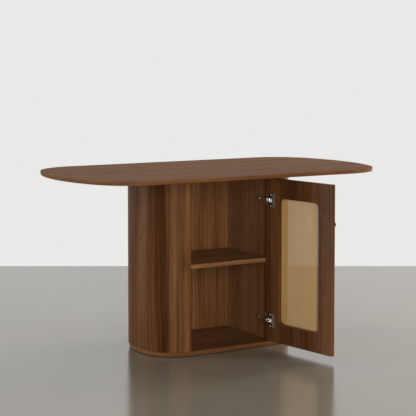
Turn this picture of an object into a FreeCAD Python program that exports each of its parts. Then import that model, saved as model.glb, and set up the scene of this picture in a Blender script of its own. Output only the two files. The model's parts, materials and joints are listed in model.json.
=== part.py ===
import FreeCAD, Part
import math
import os

# Kitchen table on a round-ended storage pedestal with one cane-panelled door.
#
# Frame: origin on the floor under the middle of the tabletop, +Z up, +X along the
# table, and the cabinet opens towards -Y. Millimetres. The door is drawn shut, then
# swung open about its hinge pins to the rest pose.

Vector = FreeCAD.Vector

# ---------------------------------------------------------------- driving sizes
table_height = 760.0

top_length = 1440.0
top_width = 780.0
top_thickness = 16.0
top_corner_radius = 209.0
top_end_radius = 730.0
top_edge_radius = 1.5

pedestal_length = 717.0
pedestal_depth = 389.0
pedestal_corner_radius = 161.0
pedestal_end_radius = 380.0
shell_thickness = 12.0

glide_height = 3.0
glide_radius = 12.0
glide_pin_radius = 1.2
glide_pin_length = 9.0
glide_edge_inset = 58.0

base_thickness = 18.0
base_inset = 4.0

end_shell_length = 124.0
stile_width = 32.5
stile_thickness = 20.0
side_thickness = 18.0
back_thickness = 18.0
cabinet_top_thickness = 18.0
former_thickness = 18.0

shelf_top_height = 378.0
shelf_thickness = 18.0
shelf_setback = 31.0
shelf_gap = 0.8
shelf_edge_radius = 1.0
shelf_pin_radius = 2.5
shelf_pin_clearance = 0.05
shelf_pin_in_panel = 9.0
shelf_pin_under_shelf = 9.0
shelf_pin_inset = 45.0

door_thickness = 18.0
door_side_gap = 3.0
door_top_gap = 2.0
door_bottom_gap = 2.0
door_hinge_edge_radius = 3.0
door_edge_radius = 1.0
door_open_angle = 98.2

window_side_margin = 79.0
window_top_margin = 82.5
window_bottom_margin = 83.5
window_corner_radius = 22.0
window_edge_radius = 1.2
cane_thickness = 1.0
cane_lap = 9.0
spline_width = 3.5
spline_depth = 5.0

hinge_bottom_inset = 90.0
hinge_top_inset = 94.5
hinge_pin_from_edge = 10.0
hinge_pin_depth = 9.5
hinge_pin_radius = 1.5
hinge_pin_end_wall = 1.0
hinge_pin_clearance = 0.05
knuckle_wall = 1.0
knuckle_gap = 0.35

cup_radius = 17.5
cup_from_edge = 4.5
cup_depth = 12.8
cup_bore_clearance = 0.1
cup_wall = 0.8
flange_thickness = 1.2
flange_length = 60.0
flange_start = 16.0
flange_end = 51.5
flange_corner_radius = 6.0
cup_screw_spacing = 48.0
cup_screw_from_centre = 6.0

arm_thickness = 2.4
arm_pocket_clearance = 0.5
arm_hook = 12.0
arm_hook_reach = 13.0
arm_ahead_of_screws = 11.0
arm_behind_screws = 43.0
arm_body_width = 17.0
arm_body_top = 12.5
arm_body_wall = 1.5
arm_skirt_gap = 4.0

plate_setback = 37.0
plate_wing_width = 13.0
plate_wing_length = 48.0
plate_wing_thickness = 2.5
plate_wing_corner = 4.0
plate_ridge_clearance = 0.3
plate_ridge_margin = 2.0
plate_screw_spacing = 32.0
arm_screw_from_back = 7.0
arm_screw_head_radius = 3.0
arm_screw_head_height = 1.4
arm_screw_tip_gap = 2.0

knob_from_edge = 27.0
knob_drop = 166.0
knob_projection = 25.0
knob_head_radius = 10.0
knob_neck_radius = 4.8
knob_foot_radius = 6.5
knob_foot_thickness = 2.6
knob_head_thickness = 11.5
knob_under_radius = 4.4
knob_crown_radius = 2.2

small_screw_radius = 1.4
small_screw_head_radius = 3.5
small_screw_head_height = 1.7
small_screw_crown_radius = 1.0
small_screw_length = 13.0
knob_screw_radius = 2.0
knob_screw_in_door = 13.0
knob_screw_in_knob = 12.0
long_screw_radius = 2.0
long_screw_bite_side = 32.0
long_screw_bite_top = 10.0
long_screw_bite_former = 14.0
long_screw_inset = 65.0
cabinet_screw_inset = 52.0
former_screw_inset = 50.0
former_screw_y = 60.0

# ----------------------------------------------------------------- worked sizes
def half_chord(radius, offset):
    """Half the length of a circle's chord that lies at an offset from its centre."""
    return math.sqrt(radius ** 2 - offset ** 2)


base_top = glide_height + base_thickness
carcass_bottom = base_top
carcass_top = table_height - top_thickness
front_y = -pedestal_depth / 2
back_y = pedestal_depth / 2
back_inner_y = back_y - back_thickness
stile_back_y = front_y + stile_thickness
seam_x = pedestal_length / 2 - end_shell_length
opening_x = seam_x - stile_width
side_outer_x = opening_x + side_thickness
cabinet_top_bottom = carcass_top - cabinet_top_thickness
shelf_bottom = shelf_top_height - shelf_thickness
shelf_front_y = front_y + shelf_setback

door_hinge_x = opening_x - door_side_gap
door_free_x = -opening_x + door_side_gap
door_bottom = base_top + door_bottom_gap
door_top = cabinet_top_bottom - door_top_gap
door_inner_y = front_y + door_thickness
pin_x = door_hinge_x - hinge_pin_from_edge
pin_y = front_y + hinge_pin_depth
cup_x = door_hinge_x - cup_from_edge - cup_radius
cup_screw_x = cup_x - cup_screw_from_centre
cup_body_radius = cup_radius - cup_bore_clearance
cup_pocket_radius = cup_body_radius - cup_wall
knuckle_bore = hinge_pin_radius + hinge_pin_clearance
knuckle_reach = pin_x - cup_x + knuckle_bore + knuckle_wall + knuckle_gap
neck_width = 2 * half_chord(cup_pocket_radius, knuckle_reach)
cup_pocket_width = neck_width + 2 * arm_pocket_clearance
pin_chord = half_chord(cup_body_radius, pin_x - cup_x + hinge_pin_radius)
hinge_pin_length = 2 * (pin_chord - hinge_pin_end_wall)
plate_screw_y = door_inner_y + plate_setback
arm_front_y = plate_screw_y - arm_ahead_of_screws
arm_back_y = plate_screw_y + arm_behind_screws
side_centre_x = (opening_x + side_outer_x) / 2
screw_rows = (stile_back_y + long_screw_inset, back_inner_y - long_screw_inset)
hinge_heights = {
    "lower": door_bottom + hinge_bottom_inset,
    "upper": door_top - hinge_top_inset,
}
knob_x = door_free_x + knob_from_edge
knob_z = door_top - knob_drop

UP = Vector(0, 0, 1)
BACK = Vector(0, 1, 0)
RIGHT = Vector(1, 0, 0)


# ---------------------------------------------------------------------- helpers
def box(x0, x1, y0, y1, z0, z1):
    """A block between two corners."""
    return Part.makeBox(x1 - x0, y1 - y0, z1 - z0, Vector(x0, y0, z0))


def rod(radius, length, start, direction):
    """A round bar from a start point along a direction."""
    return Part.makeCylinder(radius, length, start, direction)


def round_ended_prism(length, width, corner_radius, end_radius, z0, z1):
    """A board whose plan has straight sides, quarter-like corners and shallow end arcs."""
    reach = end_radius - corner_radius
    tilt = math.asin((width / 2 - corner_radius) / reach)
    end_centre = length / 2 - end_radius
    corner_x = end_centre + reach * math.cos(tilt)
    corner_y = reach * math.sin(tilt)
    half = (tilt + math.pi / 2) / 2

    def corner_point(angle):
        return Vector(corner_x + corner_radius * math.cos(angle),
                      corner_y + corner_radius * math.sin(angle), z0)

    side = corner_point(math.pi / 2)
    corner_middle = corner_point(half)
    end = corner_point(tilt)
    tip = Vector(length / 2, 0, z0)

    def flip(point, x_sign, y_sign):
        return Vector(point.x * x_sign, point.y * y_sign, z0)

    edges = [Part.makeLine(flip(side, -1, 1), side)]
    edges.append(Part.Arc(side, corner_middle, end).toShape())
    edges.append(Part.Arc(end, tip, flip(end, 1, -1)).toShape())
    edges.append(Part.Arc(flip(end, 1, -1), flip(corner_middle, 1, -1), flip(side, 1, -1)).toShape())
    edges.append(Part.makeLine(flip(side, 1, -1), flip(side, -1, -1)))
    edges.append(Part.Arc(flip(side, -1, -1), flip(corner_middle, -1, -1), flip(end, -1, -1)).toShape())
    edges.append(Part.Arc(flip(end, -1, -1), flip(tip, -1, 1), flip(end, -1, 1)).toShape())
    edges.append(Part.Arc(flip(end, -1, 1), flip(corner_middle, -1, 1), flip(side, -1, 1)).toShape())
    return Part.Face(Part.Wire(edges)).extrude(Vector(0, 0, z1 - z0))


def pedestal_prism(inset, z0, z1):
    """The pedestal's plan, drawn in by an even inset, as a prism."""
    return round_ended_prism(pedestal_length - 2 * inset, pedestal_depth - 2 * inset,
                             pedestal_corner_radius - inset, pedestal_end_radius - inset, z0, z1)


def rounded_rectangle_prism(x0, x1, z0, z1, radius, y0, y1):
    """An upright plate in XZ with round corners, running from y0 to y1."""
    turn = radius * (1 - math.sqrt(0.5))
    edges = [
        Part.makeLine(Vector(x0 + radius, y0, z0), Vector(x1 - radius, y0, z0)),
        Part.Arc(Vector(x1 - radius, y0, z0), Vector(x1 - turn, y0, z0 + turn),
                 Vector(x1, y0, z0 + radius)).toShape(),
        Part.makeLine(Vector(x1, y0, z0 + radius), Vector(x1, y0, z1 - radius)),
        Part.Arc(Vector(x1, y0, z1 - radius), Vector(x1 - turn, y0, z1 - turn),
                 Vector(x1 - radius, y0, z1)).toShape(),
        Part.makeLine(Vector(x1 - radius, y0, z1), Vector(x0 + radius, y0, z1)),
        Part.Arc(Vector(x0 + radius, y0, z1), Vector(x0 + turn, y0, z1 - turn),
                 Vector(x0, y0, z1 - radius)).toShape(),
        Part.makeLine(Vector(x0, y0, z1 - radius), Vector(x0, y0, z0 + radius)),
        Part.Arc(Vector(x0, y0, z0 + radius), Vector(x0 + turn, y0, z0 + turn),
                 Vector(x0 + radius, y0, z0)).toShape(),
    ]
    return Part.Face(Part.Wire(edges)).extrude(Vector(0, y1 - y0, 0))


def edges_on_plane(shape, axis, value):
    """Edges that lie wholly on the plane where one coordinate has a value."""
    low, high = {"y": ("YMin", "YMax"), "z": ("ZMin", "ZMax")}[axis]
    found = []
    for edge in shape.Edges:
        bounds = edge.BoundBox
        if abs(getattr(bounds, low) - value) < 1e-4 and abs(getattr(bounds, high) - value) < 1e-4:
            found.append(edge)
    return found


def upright_edges(shape, x, y):
    """Edges that run straight up at one place in plan."""
    found = []
    for edge in shape.Edges:
        bounds = edge.BoundBox
        at_place = abs(bounds.XMin - x) < 1e-4 and abs(bounds.YMin - y) < 1e-4
        if at_place and bounds.XLength < 1e-4 and bounds.YLength < 1e-4:
            found.append(edge)
    return found


def countersunk_screw(start, direction, shank_radius, length):
    """A wood screw with a flat cone head flush at its start point."""
    cone = Part.makeCone(2 * shank_radius, shank_radius, shank_radius, start, direction)
    return cone.fuse(rod(shank_radius, length, start, direction)).removeSplitter()


def domed_disc(radius, height, crown_radius):
    """A disc that stands on the origin along +Z, with its upper edge rounded."""
    disc = Part.makeCylinder(radius, height)
    return disc.makeFillet(crown_radius, edges_on_plane(disc, "z", height))


def pan_screw(seat, direction, length):
    """A small screw whose domed head stands on its seat, with its shank beyond it."""
    head = domed_disc(small_screw_head_radius, small_screw_head_height, small_screw_crown_radius)
    head.Placement = FreeCAD.Placement(seat, FreeCAD.Rotation(UP, direction * -1))
    return head.fuse(rod(small_screw_radius, length, seat, direction)).removeSplitter()


def cut_all(shape, tools):
    """A shape with each tool cut out of it."""
    for tool in tools:
        shape = shape.cut(tool)
    return shape


def opened(shape):
    """A door piece swung from shut to the rest pose, about the hinge pins."""
    copy = shape.copy()
    copy.rotate(Vector(pin_x, pin_y, 0), UP, door_open_angle)
    return copy


# ------------------------------------------------------------------- fastenings
def former_screw_points():
    """Places on both end formers where screws go up or down."""
    x = side_outer_x + former_screw_inset
    return [(sx * x, sy * former_screw_y) for sx in (-1, 1) for sy in (-1, 1)]


def make_tabletop_screws():
    """Screws from the cabinet's ceiling and the upper formers into the tabletop."""
    screws = []
    cabinet_screw_x = opening_x - cabinet_screw_inset
    for x in (-cabinet_screw_x, cabinet_screw_x):
        for y in screw_rows:
            start = Vector(x, y, cabinet_top_bottom)
            length = cabinet_top_thickness + long_screw_bite_top
            screws.append(countersunk_screw(start, UP, long_screw_radius, length))
    for x, y in former_screw_points():
        start = Vector(x, y, carcass_top - former_thickness)
        length = former_thickness + long_screw_bite_top
        screws.append(countersunk_screw(start, UP, long_screw_radius, length))
    return screws


def make_base_screws():
    """Screws up through the base plate into the side panels and the lower formers."""
    screws = []
    for x in (-side_centre_x, side_centre_x):
        for y in screw_rows:
            length = base_thickness + long_screw_bite_side
            screws.append(countersunk_screw(Vector(x, y, glide_height), UP, long_screw_radius, length))
    for x, y in former_screw_points():
        length = base_thickness + long_screw_bite_former
        screws.append(countersunk_screw(Vector(x, y, glide_height), UP, long_screw_radius, length))
    return screws


def make_glides():
    """Nail-on glides: one in the middle, one at each end and four under the side panels."""
    end_x = pedestal_length / 2 - glide_edge_inset
    corner_y = pedestal_depth / 2 - glide_edge_inset
    places = [(0, 0), (-end_x, 0), (end_x, 0)]
    places += [(sx * side_centre_x, sy * corner_y) for sx in (-1, 1) for sy in (-1, 1)]
    glides = []
    for x, y in places:
        disc = rod(glide_radius, glide_height, Vector(x, y, 0), UP)
        nail = rod(glide_pin_radius, glide_height + glide_pin_length, Vector(x, y, 0), UP)
        glides.append(disc.fuse(nail).removeSplitter())
    return glides


def make_shelf_pins():
    """Four round pins that stand in the side panels and carry the shelf."""
    pins = []
    z = shelf_bottom - shelf_pin_radius
    length = shelf_pin_in_panel + shelf_pin_under_shelf
    for y in (shelf_front_y + shelf_pin_inset, back_inner_y - shelf_pin_inset):
        left = Vector(-opening_x - shelf_pin_in_panel, y, z)
        right = Vector(opening_x + shelf_pin_in_panel, y, z)
        pins.append(rod(shelf_pin_radius, length, left, RIGHT))
        pins.append(rod(shelf_pin_radius, length, right, RIGHT * -1))
    return pins


def make_shelf_pin_holes(pins):
    """A blind hole in a side panel round each shelf pin."""
    holes = []
    for pin in pins:
        centre = pin.BoundBox.Center
        side = math.copysign(1, centre.x)
        mouth = Vector(side * opening_x, centre.y, centre.z)
        holes.append(rod(shelf_pin_radius + shelf_pin_clearance, shelf_pin_in_panel, mouth, RIGHT * side))
    return holes


def make_plate_screws():
    """Screws that hold both hinge plates to the right side panel."""
    screws = []
    for z in hinge_heights.values():
        for dz in (-plate_screw_spacing / 2, plate_screw_spacing / 2):
            seat = Vector(opening_x - plate_wing_thickness, plate_screw_y, z + dz)
            screws.append(pan_screw(seat, RIGHT, small_screw_length))
    return screws


def make_cup_screws():
    """Screws that hold both hinge cups to the door, drawn with the door shut."""
    screws = []
    for z in hinge_heights.values():
        for dz in (-cup_screw_spacing / 2, cup_screw_spacing / 2):
            seat = Vector(cup_screw_x, door_inner_y + flange_thickness, z + dz)
            screws.append(pan_screw(seat, BACK * -1, small_screw_length))
    return screws


def make_knob_screw():
    """A headless screw, half in the door and half in the knob, drawn with the door shut."""
    start = Vector(knob_x, front_y + knob_screw_in_door, knob_z)
    return rod(knob_screw_radius, knob_screw_in_door + knob_screw_in_knob, start, BACK * -1)


# --------------------------------------------------------------------- woodwork
def make_tabletop(screws):
    """The round-ended tabletop with eased edges."""
    slab = round_ended_prism(top_length, top_width, top_corner_radius, top_end_radius,
                             carcass_top, table_height)
    rims = edges_on_plane(slab, "z", table_height) + edges_on_plane(slab, "z", carcass_top)
    return cut_all(slab.makeFillet(top_edge_radius, rims), screws)


def make_base_plate(screws, glides):
    """The board under the pedestal, set in a little from the shell."""
    plate = pedestal_prism(base_inset, glide_height, base_top)
    return cut_all(plate, screws + glides)


def make_end_shell(side):
    """A bent shell round one end of the pedestal, from stile to back panel."""
    ring = pedestal_prism(0, carcass_bottom, carcass_top)
    ring = ring.cut(pedestal_prism(shell_thickness, carcass_bottom, carcass_top))
    half = box(seam_x, pedestal_length, front_y, back_y, carcass_bottom, carcass_top)
    if side < 0:
        half = half.mirror(Vector(0, 0, 0), RIGHT)
    return ring.common(half)


def make_stile(side):
    """The solid upright at one side of the opening, its face following the pedestal's plan."""
    low, high = sorted((side * opening_x, side * seam_x))
    block = box(low, high, front_y, stile_back_y, carcass_bottom, carcass_top)
    return block.common(pedestal_prism(0, carcass_bottom, carcass_top))


def make_side_panel(side, holes):
    """A cabinet side, drilled for what it carries."""
    low, high = sorted((side * opening_x, side * side_outer_x))
    panel = box(low, high, stile_back_y, back_inner_y, carcass_bottom, carcass_top)
    return cut_all(panel, holes)


def make_back_panel():
    """The flat back of the pedestal, its outer corners following the plan."""
    board = box(-seam_x, seam_x, back_inner_y, back_y, carcass_bottom, carcass_top)
    return board.common(pedestal_prism(0, carcass_bottom, carcass_top))


def make_cabinet_top(screws):
    """The cabinet's ceiling, flush with the front above the door."""
    board = box(-opening_x, opening_x, front_y, back_inner_y, cabinet_top_bottom, carcass_top)
    board = board.common(pedestal_prism(0, cabinet_top_bottom, carcass_top))
    return cut_all(board, screws)


def make_former(side, bottom, stile, back_panel, screws):
    """A D-shaped board that holds one end shell to its curve."""
    top = bottom + former_thickness
    board = pedestal_prism(shell_thickness, bottom, top)
    half = box(side_outer_x, pedestal_length, front_y, back_y, bottom, top)
    if side < 0:
        half = half.mirror(Vector(0, 0, 0), RIGHT)
    return cut_all(board.common(half), [stile, back_panel] + screws)


def make_shelf():
    """The loose shelf, with its front edge eased."""
    board = box(-opening_x + shelf_gap, opening_x - shelf_gap, shelf_front_y, back_inner_y - shelf_gap,
                shelf_bottom, shelf_top_height)
    front = [edge for edge in edges_on_plane(board, "y", shelf_front_y) if edge.Length > opening_x]
    return board.makeFillet(shelf_edge_radius, front)


# --------------------------------------------------------------- door, drawn shut
def window_prism(inset, y0, y1):
    """The door's window, drawn in by an even inset."""
    return rounded_rectangle_prism(door_free_x + window_side_margin + inset,
                                   door_hinge_x - window_side_margin - inset,
                                   door_bottom + window_bottom_margin + inset,
                                   door_top - window_top_margin - inset,
                                   window_corner_radius - inset, y0, y1)


def door_blank():
    """The door leaf as a solid, its outer hinge edge rounded enough to clear the stile."""
    leaf = box(door_free_x, door_hinge_x, front_y, door_inner_y, door_bottom, door_top)
    leaf = leaf.makeFillet(door_hinge_edge_radius, upright_edges(leaf, door_hinge_x, front_y))
    for x, y in ((door_hinge_x, door_inner_y), (door_free_x, front_y), (door_free_x, door_inner_y)):
        leaf = leaf.makeFillet(door_edge_radius, upright_edges(leaf, x, y))
    return leaf


def window_rims(frame):
    """The window's edges on the door's inner face."""
    rims = []
    for edge in edges_on_plane(frame, "y", door_inner_y):
        bounds = edge.BoundBox
        in_width = bounds.XMin > door_free_x + window_side_margin / 2 \
            and bounds.XMax < door_hinge_x - window_side_margin / 2
        in_height = bounds.ZMin > door_bottom + window_bottom_margin / 2 \
            and bounds.ZMax < door_top - window_top_margin / 2
        if in_width and in_height:
            rims.append(edge)
    return rims


def make_door_frame(screws):
    """The door leaf with its window, the cane's rebate and groove, and the hinge bores."""
    frame = door_blank().cut(window_prism(0, front_y, door_inner_y))
    frame = frame.makeFillet(window_edge_radius, window_rims(frame))
    frame = frame.cut(window_prism(-cane_lap, front_y, front_y + cane_thickness))
    frame = frame.cut(make_cane_spline())
    bore_depth = cup_depth + cup_bore_clearance
    for z in hinge_heights.values():
        frame = frame.cut(rod(cup_radius, bore_depth, Vector(cup_x, door_inner_y, z), BACK * -1))
    return cut_all(frame, screws)


def make_cane_panel():
    """The cane sheet that covers the window, flush with the door's outer face."""
    return window_prism(spline_width - cane_lap, front_y, front_y + cane_thickness)


def make_cane_spline():
    """The ring that holds the cane's edge down in its groove, flush with the outer face."""
    ring = window_prism(-cane_lap, front_y, front_y + spline_depth)
    return ring.cut(window_prism(spline_width - cane_lap, front_y, front_y + spline_depth))


def make_knob(screw):
    """A turned knob, foot against the door's face and head outwards."""
    foot = Part.makeCylinder(knob_foot_radius, knob_foot_thickness)
    neck = Part.makeCylinder(knob_neck_radius, knob_projection - knob_crown_radius)
    head = domed_disc(knob_head_radius, knob_head_thickness, knob_crown_radius)
    head = head.makeFillet(knob_under_radius, edges_on_plane(head, "z", 0))
    head.translate(UP * (knob_projection - knob_head_thickness))
    knob = foot.fuse([neck, head]).removeSplitter()
    knob.Placement = FreeCAD.Placement(Vector(knob_x, front_y, knob_z), FreeCAD.Rotation(UP, BACK * -1))
    return knob.cut(screw)


# ------------------------------------------------------------------- the hinges
def bar_along(points, thickness, width, z):
    """A flat bar with round bends that follows plan points, centred on a height."""
    bar = None
    for start, end in zip(points, points[1:]):
        run = end.sub(start)
        across = Vector(-run.y, run.x, 0).normalize() * (thickness / 2)
        drop = Vector(0, 0, z - width / 2)
        corners = [start.sub(across), end.sub(across), end.add(across), start.add(across)]
        corners = [corner.add(drop) for corner in corners]
        piece = Part.Face(Part.makePolygon(corners + corners[:1])).extrude(Vector(0, 0, width))
        bend = rod(thickness / 2, width, end.add(drop), UP)
        piece = piece.fuse(bend)
        bar = piece if bar is None else bar.fuse(piece)
    return bar.removeSplitter()


def make_hinge_cup(z, screws):
    """A hinge cup with its pocket, its flange and the hole for its pin."""
    body = rod(cup_body_radius, cup_depth, Vector(cup_x, door_inner_y, z), BACK * -1)
    flange = rounded_rectangle_prism(door_hinge_x - flange_end, door_hinge_x - flange_start,
                                     z - flange_length / 2, z + flange_length / 2,
                                     flange_corner_radius, door_inner_y, door_inner_y + flange_thickness)
    pocket_floor = door_inner_y - cup_depth + cup_wall
    pocket_depth = cup_depth - cup_wall + flange_thickness
    round_pocket = rod(cup_pocket_radius, pocket_depth, Vector(cup_x, pocket_floor, z), BACK)
    band = box(cup_x - cup_radius, cup_x + cup_radius, pocket_floor, pocket_floor + pocket_depth,
               z - cup_pocket_width / 2, z + cup_pocket_width / 2)
    pocket = round_pocket.common(band)
    cup = body.fuse(flange).removeSplitter().cut(pocket)
    pin = rod(hinge_pin_radius, hinge_pin_length, Vector(pin_x, pin_y, z - hinge_pin_length / 2), UP)
    return cut_all(cup, [pin] + screws)


def make_hinge_pins():
    """One pin across each cup, drawn with the door shut."""
    pins = []
    for z in hinge_heights.values():
        foot = Vector(pin_x, pin_y, z - hinge_pin_length / 2)
        pins.append(rod(hinge_pin_radius, hinge_pin_length, foot, UP))
    return pins


def make_hinge_arm(z, screws):
    """The hooked arm: a knuckle round the pin, a hook out of the cup and a channel body."""
    hook_x = pin_x - arm_hook
    path = [
        Vector(pin_x, pin_y, 0),
        Vector(hook_x, pin_y, 0),
        Vector(hook_x, door_inner_y + arm_hook_reach, 0),
        Vector(opening_x - arm_body_top + arm_thickness / 2, arm_front_y, 0),
    ]
    neck = bar_along(path, arm_thickness, neck_width, z)
    knuckle_foot = Vector(pin_x, pin_y, z - neck_width / 2)
    knuckle = rod(knuckle_bore + knuckle_wall, neck_width, knuckle_foot, UP)
    body = box(opening_x - arm_body_top, opening_x - arm_skirt_gap, arm_front_y, arm_back_y,
               z - arm_body_width / 2, z + arm_body_width / 2)
    inner = arm_body_width / 2 - arm_body_wall
    hollow = box(opening_x - arm_body_top + arm_body_wall, opening_x,
                 arm_front_y + arm_body_wall, arm_back_y, z - inner, z + inner)
    arm = neck.fuse([knuckle, body.cut(hollow)])
    bore = rod(knuckle_bore, neck_width, knuckle_foot, UP)
    return cut_all(arm.cut(bore).removeSplitter(), screws)


def make_hinge_plate(z, screws):
    """A cross-shaped mounting plate: a wing for its screws and a ridge that takes the arm."""
    wing_half = plate_wing_width / 2
    wing = box(opening_x - plate_wing_thickness, opening_x,
               plate_screw_y - wing_half, plate_screw_y + wing_half,
               z - plate_wing_length / 2, z + plate_wing_length / 2)
    corners = [edge for edge in wing.Edges if edge.BoundBox.XLength > plate_wing_thickness / 2
               and edge.BoundBox.YLength < 1e-4 and edge.BoundBox.ZLength < 1e-4]
    wing = wing.makeFillet(plate_wing_corner, corners)
    ridge_half = arm_body_width / 2 - arm_body_wall - plate_ridge_clearance
    ridge = box(opening_x - arm_body_top + arm_body_wall, opening_x,
                arm_front_y + plate_ridge_margin, arm_back_y - plate_ridge_margin,
                z - ridge_half, z + ridge_half)
    return cut_all(wing.fuse(ridge).removeSplitter(), screws)


def make_arm_screws():
    """The screw that clamps each arm to its plate."""
    screws = []
    for z in hinge_heights.values():
        seat = Vector(opening_x - arm_body_top, arm_back_y - arm_screw_from_back, z)
        head = rod(arm_screw_head_radius, arm_screw_head_height, seat, RIGHT * -1)
        shank = rod(small_screw_radius, arm_body_top - arm_screw_tip_gap, seat, RIGHT)
        screws.append(head.fuse(shank).removeSplitter())
    return screws


# --------------------------------------------------------------------- assembly
def build():
    """Every node by name; a node of several like pieces is a list of solids."""
    nodes = {}
    tabletop_screws = make_tabletop_screws()
    base_screws = make_base_screws()
    glides = make_glides()
    shelf_pins = make_shelf_pins()
    plate_screws = make_plate_screws()
    cup_screws = make_cup_screws()
    arm_screws = make_arm_screws()
    knob_screw = make_knob_screw()
    hinge_pins = make_hinge_pins()

    nodes["tabletop"] = make_tabletop(tabletop_screws)
    nodes["cabinet_top"] = make_cabinet_top(tabletop_screws)
    nodes["base_plate"] = make_base_plate(base_screws, glides)
    nodes["back_panel"] = make_back_panel()
    nodes["shelf"] = make_shelf()

    former_bottoms = {
        "lower": carcass_bottom,
        "middle": (carcass_bottom + carcass_top - former_thickness) / 2,
        "upper": carcass_top - former_thickness,
    }
    pin_holes = make_shelf_pin_holes(shelf_pins)
    for name, side in (("left", -1), ("right", 1)):
        stile = make_stile(side)
        nodes[name + "_end_shell"] = make_end_shell(side)
        nodes[name + "_stile"] = stile
        nodes[name + "_side_panel"] = make_side_panel(side, pin_holes + plate_screws + base_screws)
        for level, bottom in former_bottoms.items():
            nodes[name + "_" + level + "_former"] = make_former(
                side, bottom, stile, nodes["back_panel"], base_screws + tabletop_screws)

    nodes["floor_glides"] = glides
    nodes["shelf_pins"] = shelf_pins
    nodes["base_screws"] = base_screws
    nodes["tabletop_screws"] = tabletop_screws

    for level, z in hinge_heights.items():
        nodes[level + "_hinge_plate"] = make_hinge_plate(z, plate_screws + arm_screws)
        nodes[level + "_hinge_arm"] = make_hinge_arm(z, arm_screws)
        nodes[level + "_hinge_cup"] = opened(make_hinge_cup(z, cup_screws))
    nodes["hinge_plate_screws"] = plate_screws
    nodes["hinge_arm_screws"] = arm_screws
    nodes["hinge_cup_screws"] = [opened(screw) for screw in cup_screws]
    nodes["hinge_pins"] = [opened(pin) for pin in hinge_pins]

    nodes["door_frame"] = opened(make_door_frame(cup_screws + [knob_screw]))
    nodes["cane_panel"] = opened(make_cane_panel())
    nodes["cane_spline"] = opened(make_cane_spline())
    nodes["door_knob"] = opened(make_knob(knob_screw))
    nodes["knob_screw"] = opened(knob_screw)
    return nodes


def export(nodes):
    """One STEP file per node, and a line that says how many solids it holds."""
    os.makedirs("parts", exist_ok=True)
    for name, shape in nodes.items():
        solid = Part.makeCompound(shape) if isinstance(shape, list) else shape
        solid.exportStep("parts/" + name + ".step")
        print(name, len(solid.Solids), "solid(s)", round(solid.Volume / 1000, 2), "cm3", solid.isValid())


export(build())
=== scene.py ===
import json
import math

import bmesh
import bpy
from mathutils import Matrix, Vector


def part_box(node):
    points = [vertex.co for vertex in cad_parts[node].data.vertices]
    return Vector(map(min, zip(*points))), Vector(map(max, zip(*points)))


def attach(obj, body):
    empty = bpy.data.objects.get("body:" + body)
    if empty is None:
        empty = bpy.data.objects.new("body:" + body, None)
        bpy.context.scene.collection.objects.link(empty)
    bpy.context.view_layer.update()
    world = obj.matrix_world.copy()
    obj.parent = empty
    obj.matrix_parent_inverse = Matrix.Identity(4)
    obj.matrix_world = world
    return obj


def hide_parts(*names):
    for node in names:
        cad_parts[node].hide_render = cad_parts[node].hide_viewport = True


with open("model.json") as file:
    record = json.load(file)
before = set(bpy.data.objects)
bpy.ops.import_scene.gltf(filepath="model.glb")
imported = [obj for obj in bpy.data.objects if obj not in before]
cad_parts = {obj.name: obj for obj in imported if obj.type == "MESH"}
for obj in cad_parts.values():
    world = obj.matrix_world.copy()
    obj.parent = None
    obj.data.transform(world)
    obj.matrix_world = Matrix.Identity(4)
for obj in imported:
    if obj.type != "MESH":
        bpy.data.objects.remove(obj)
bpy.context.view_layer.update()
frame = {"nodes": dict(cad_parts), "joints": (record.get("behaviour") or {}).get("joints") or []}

# Metres, in the CAD's own frame. Each board is rebuilt with eased edges and a map of
# its veneer, called GRAIN: u runs across the grain and v along it, both in metres.
GRAIN = "Grain"

# ------------------------------------------------------------------- plan shapes
TOP_CORNER_RADIUS = 0.209
TOP_END_RADIUS = 0.730
TOP_EDGE_RADIUS = 0.0015
PEDESTAL_CORNER_RADIUS = 0.161
PEDESTAL_END_RADIUS = 0.380
SHELL_THICKNESS = 0.012
BOARD_EASE = 0.0006
SHARP_ANGLE = math.radians(40.0)

# ---------------------------------------------------------------------- the door
DOOR_EDGE_RADIUS = 0.001
DOOR_CORNER_RADIUS = 0.0006
WINDOW_SIDE_MARGIN = 0.079
WINDOW_BOTTOM_MARGIN = 0.0835
WINDOW_TOP_MARGIN = 0.0825
WINDOW_CORNER_RADIUS = 0.022
WINDOW_EDGE_RADIUS = 0.0012
CANE_THICKNESS = 0.001
CANE_LAP = 0.009
SPLINE_WIDTH = 0.0035
SPLINE_DEPTH = 0.005
SPLINE_CROWN = 0.0008
DOOR_SIDE_GAP = 0.003
DOOR_THICKNESS = 0.018
CUP_RADIUS = 0.0175
CUP_FROM_EDGE = 0.0045
CUP_BORE_DEPTH = 0.0129
BORE_STEPS = 64
CORNER_STEPS = 10
FLANGE_WING = 0.0405
KNOB_FROM_EDGE = 0.027
KNOB_DROP = 0.166
KNOB_STEPS = 48
KNOB_GRAIN_RADIUS = 0.008

# ------------------------------------------------------------------------- cane
CANE_PITCH = 0.0040
STRAND_WIDTH = 0.00275
STRAND_THICKNESS = 0.00040
STRAND_LIFT = 0.00026
RIM_HALVINGS = 12

# ------------------------------------------------------------- camera and lights
CAMERA_PLACE = (-2.858378, -4.789152, 1.248472)
CAMERA_YAW = 30.783
CAMERA_PITCH = 4.018
CAMERA_LENS = 112.603
CAMERA_SENSOR = 36.0
CAMERA_SHIFT = -0.15
LAMP_DISTANCE = 4.5
LAMP_HEIGHT = 1.1
LAMP_TALL = 2.0
SOFT_COLOUR = (1.0, 0.985, 0.96, 1)
SOFT_STRENGTH = 0.15
WALL_COLOUR = (0.82, 0.82, 0.81, 1)
FLOOR_SHINE = 2.25
FLOOR_BEHIND = 2.04
FLOOR_REACH = 14.0

joint = frame["joints"][0]
pin = Vector(joint["pos_m"])
open_angle = math.radians(-joint["range_deg"][0])
swing = Matrix.Translation(pin) @ Matrix.Rotation(open_angle, 4, "Z") @ Matrix.Translation(-pin)

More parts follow.
